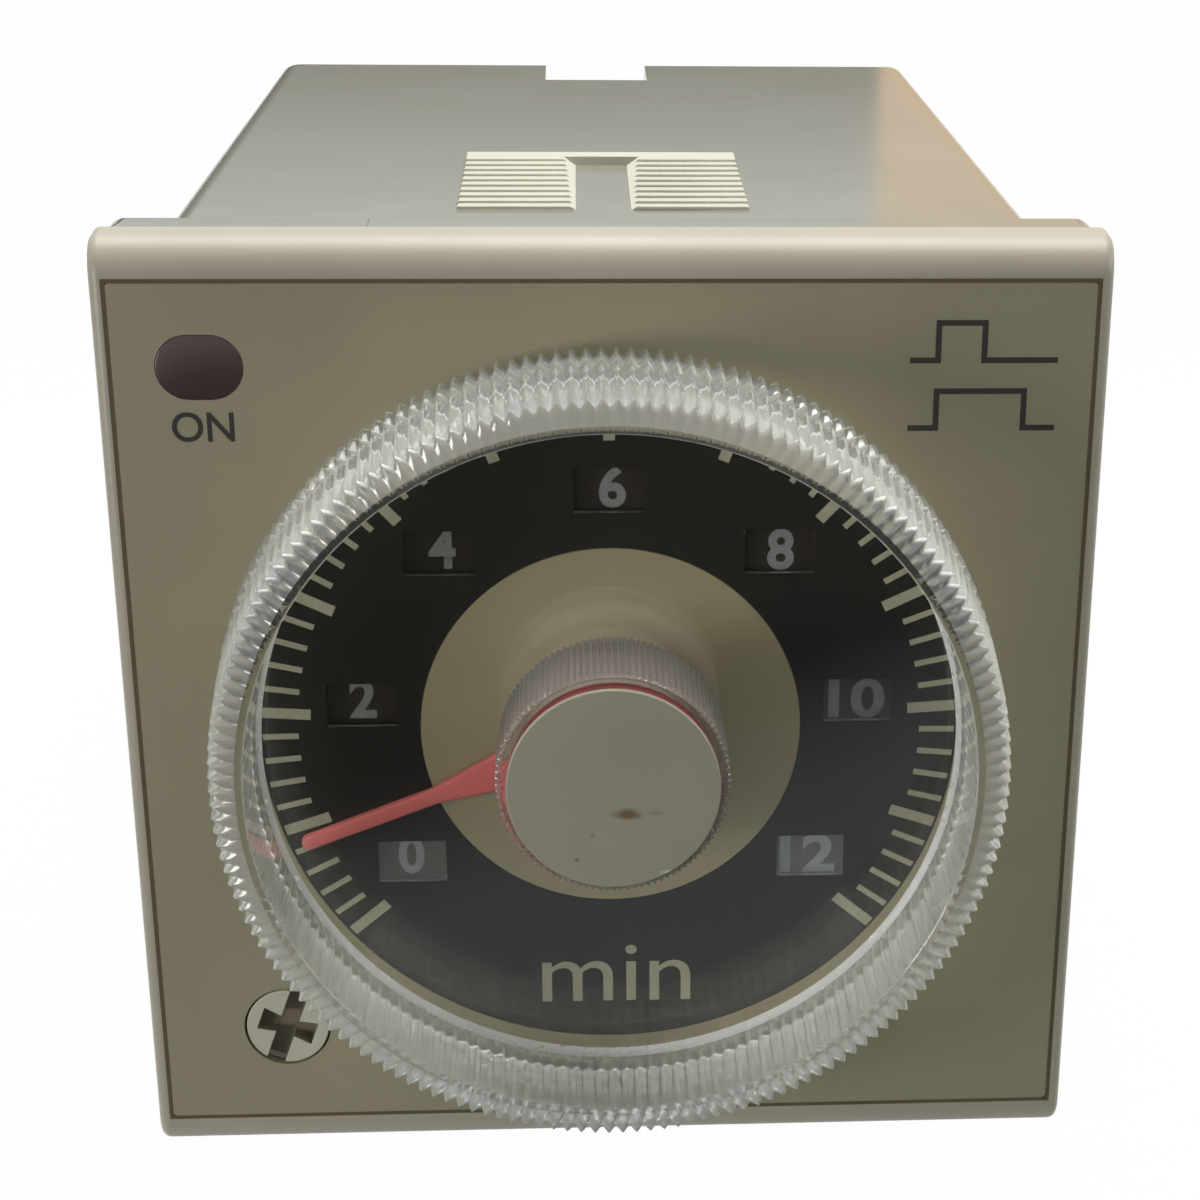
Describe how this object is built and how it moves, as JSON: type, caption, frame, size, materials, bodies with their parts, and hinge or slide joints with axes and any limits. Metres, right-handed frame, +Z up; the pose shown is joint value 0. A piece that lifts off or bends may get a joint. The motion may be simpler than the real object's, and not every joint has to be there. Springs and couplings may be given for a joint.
{
  "type": "timer relay",
  "caption": "Square plug-in timer relay with a clear ribbed setting dial, red pointer, number windows, range selector, lamp and round plug base.",
  "frame": {"origin": "on the dial axis, in the plane of the flange's rear face, which seats on the panel", "axes": "+Z up, the dial faces -Y, +Y runs along the case towards the plug, +X to the right seen from the front"},
  "size_m": [0.048, 0.0924, 0.048],
  "materials": {
    "case_plastic": "semi-gloss moulded",
    "bezel_plastic": "satin moulded",
    "panel_plastic": "fine matt",
    "scale_print": "printed film",
    "lamp_lens": "smoked translucent",
    "chassis_plastic": "matt",
    "number_plastic": "matt with printed numbers",
    "selector_plastic": "satin",
    "clear_plastic": "clear moulded",
    "pointer_plastic": "satin red",
    "cap_plastic": "satin",
    "steel": "plated",
    "brass": "bright",
    "nickel": "nickel-plated",
    "board": "laminate",
    "component_black": "moulded",
    "component_blue": "dipped",
    "component_tan": "lacquered",
    "copper_winding": "enamelled winding",
    "bobbin_plastic": "moulded",
    "relay_clear": "translucent",
    "base_plastic": "moulded phenolic",
    "led_red": "diffused"
  },
  "bodies": {
    "housing": {"case": "case_plastic", "bezel": "bezel_plastic", "front_panel": "panel_plastic", "scale_label": "scale_print", "led_window": "lamp_lens", "chassis": "chassis_plastic", "potentiometer": "steel", "rotary_switch": "component_black", "front_board": "board", "led": "led_red", "main_board": "board", "power_board": "board", "storage_capacitor_1": "component_black", "storage_capacitor_2": "component_black", "film_capacitor": "component_blue", "varistor": "component_blue", "rectifier": "component_black", "timer_chip": "component_black", "resistor_1": "component_tan", "resistor_2": "component_tan", "resistor_3": "component_tan", "resistor_4": "component_tan", "relay_base": "component_black", "relay_bobbin": "bobbin_plastic", "relay_coil": "copper_winding", "relay_core": "steel", "relay_yoke": "steel", "normally_open_contact": "brass", "normally_closed_contact": "brass", "relay_cover": "relay_clear", "plug_base": "base_plastic", "plug_pin_1": "nickel", "plug_pin_2": "nickel", "plug_pin_3": "nickel", "plug_pin_4": "nickel", "plug_pin_5": "nickel", "plug_pin_6": "nickel", "plug_pin_7": "nickel", "plug_pin_8": "nickel"},
    "dial": {"dial": "clear_plastic", "pointer": "pointer_plastic", "dial_cap": "cap_plastic", "dial_shaft": "steel"},
    "selector": {"selector": "selector_plastic"},
    "number_disc": {"number_disc": "number_plastic"},
    "armature": {"relay_armature": "steel", "moving_contact": "brass"}
  },
  "joints": [
    {"name": "dial_turn", "type": "hinge", "parent": "housing", "child": "dial", "pos_m": [0, 0, 0], "axis": [0, 1, 0], "range_deg": [-18.58, 240.62]},
    {"name": "number_disc_turn", "type": "hinge", "parent": "housing", "child": "number_disc", "pos_m": [0, 0, 0], "axis": [0, 1, 0], "range_deg": [0, 27.83]},
    {"name": "selector_turn", "type": "hinge", "parent": "housing", "child": "selector", "pos_m": [-0.01685, 0, -0.01685], "axis": [0, 1, 0], "range_deg": [-174, 0]},
    {"name": "armature_swing", "type": "hinge", "parent": "housing", "child": "armature", "pos_m": [0.00045, 0.01925, -0.011], "axis": [0, 0, -1], "range_deg": [0, 4], "stiffness_Nm_per_rad": 0.05, "springref_deg": -5.73}
  ],
  "couplings": [
    {"joint": "selector_turn", "follows": "number_disc_turn", "ratio": -6.25}
  ]
}
